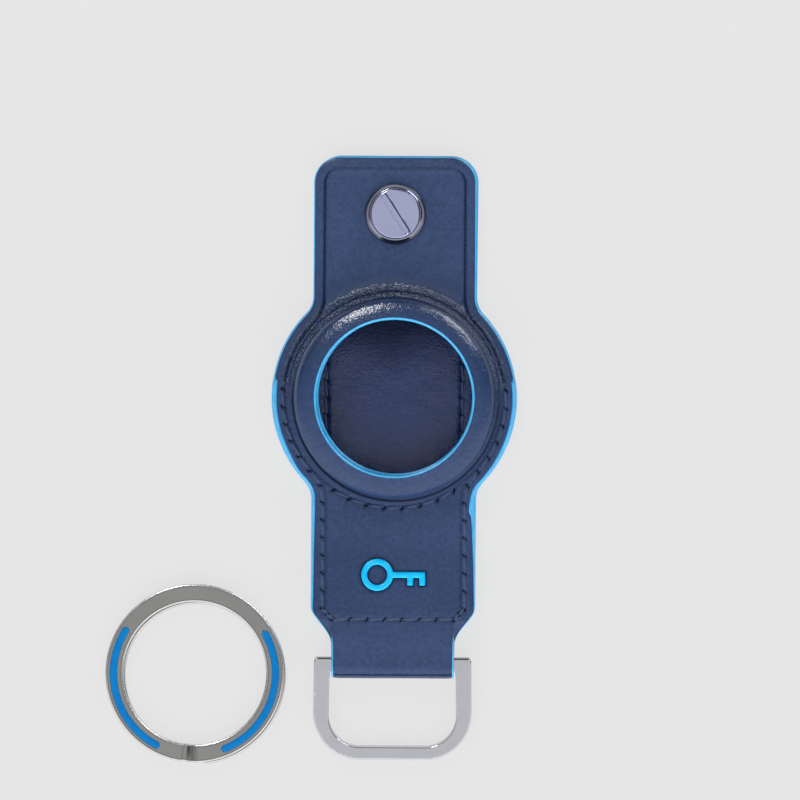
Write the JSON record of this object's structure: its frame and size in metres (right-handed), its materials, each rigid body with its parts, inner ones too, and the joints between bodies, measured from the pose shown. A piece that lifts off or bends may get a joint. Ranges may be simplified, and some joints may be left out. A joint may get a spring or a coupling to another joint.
{
  "type": "tracker tag holder",
  "caption": "Leather holder for a coin-shaped tracker tag, with a moulded window pocket, a screwed flap, a D-ring and a split key ring.",
  "frame": {"origin": "below the centre of the tag pocket, on the flat back face on which the holder lies", "axes": "+Z out of the front with the window, +Y along the holder towards the screw, +X to the right seen from the front"},
  "size_m": [0.0744, 0.1104, 0.01],
  "materials": {
    "outer_leather": "smooth glazed navy calf leather",
    "lining_leather": "glazed dark navy leather",
    "thread": "waxed navy thread",
    "edge_paint": "satin sky-blue edge paint",
    "badge_enamel": "glossy sky-blue enamel",
    "polished_steel": "polished, slightly dark",
    "dark_steel": "dark polished",
    "screw_steel": "satin",
    "ring_steel": "satin face with bright edges",
    "ring_enamel": "glossy blue enamel"
  },
  "bodies": {
    "holder": {"back_panel": "outer_leather", "back_lining": "lining_leather", "front_panel": "outer_leather", "front_lining": "lining_leather", "ring_loop": "outer_leather", "sewn_edge_paint": "edge_paint", "back_edge_paint": "edge_paint", "window_edge_lower": "edge_paint", "lining_edge_lower": "edge_paint", "front_stitching": "thread", "back_stitching": "thread", "lining_stitching": "thread", "screw_post": "dark_steel", "badge": "badge_enamel"},
    "front_flap": {"flap_panel": "outer_leather", "flap_lining": "lining_leather", "flap_edge_paint": "edge_paint", "window_edge_upper": "edge_paint", "lining_edge_upper": "edge_paint"},
    "washer": {"cup_washer": "dark_steel"},
    "screw": {"flap_screw": "screw_steel"},
    "d_ring": {"d_ring": "polished_steel"},
    "key_ring": {"split_ring": "ring_steel", "enamel_left": "ring_enamel", "enamel_right": "ring_enamel"}
  },
  "joints": [
    {"name": "screw_lift", "type": "slide", "parent": "holder", "child": "washer", "axis": [0, 0, 1], "range_m": [0, 0.02]},
    {"name": "screw_turn", "type": "hinge", "parent": "washer", "child": "screw", "pos_m": [0, 0.0332, 0.0041], "axis": [0, 0, 1], "continuous": true},
    {"name": "flap_lift", "type": "hinge", "parent": "holder", "child": "front_flap", "pos_m": [0, 0.003, 0.0101], "axis": [1, 0, 0], "range_deg": [0, 30]},
    {"name": "d_ring_swing", "type": "hinge", "parent": "holder", "child": "d_ring", "pos_m": [0, -0.0481, 0.00284], "axis": [-1, 0, 0], "range_deg": [-120, 150]},
    {"name": "key_ring_lift", "type": "slide", "parent": "holder", "child": "key_ring", "axis": [0, 0, 1], "range_m": [0, 0.03]}
  ],
  "couplings": [
    {"joint": "flap_lift", "follows": "screw_lift", "rad_per_m": 26.1}
  ]
}
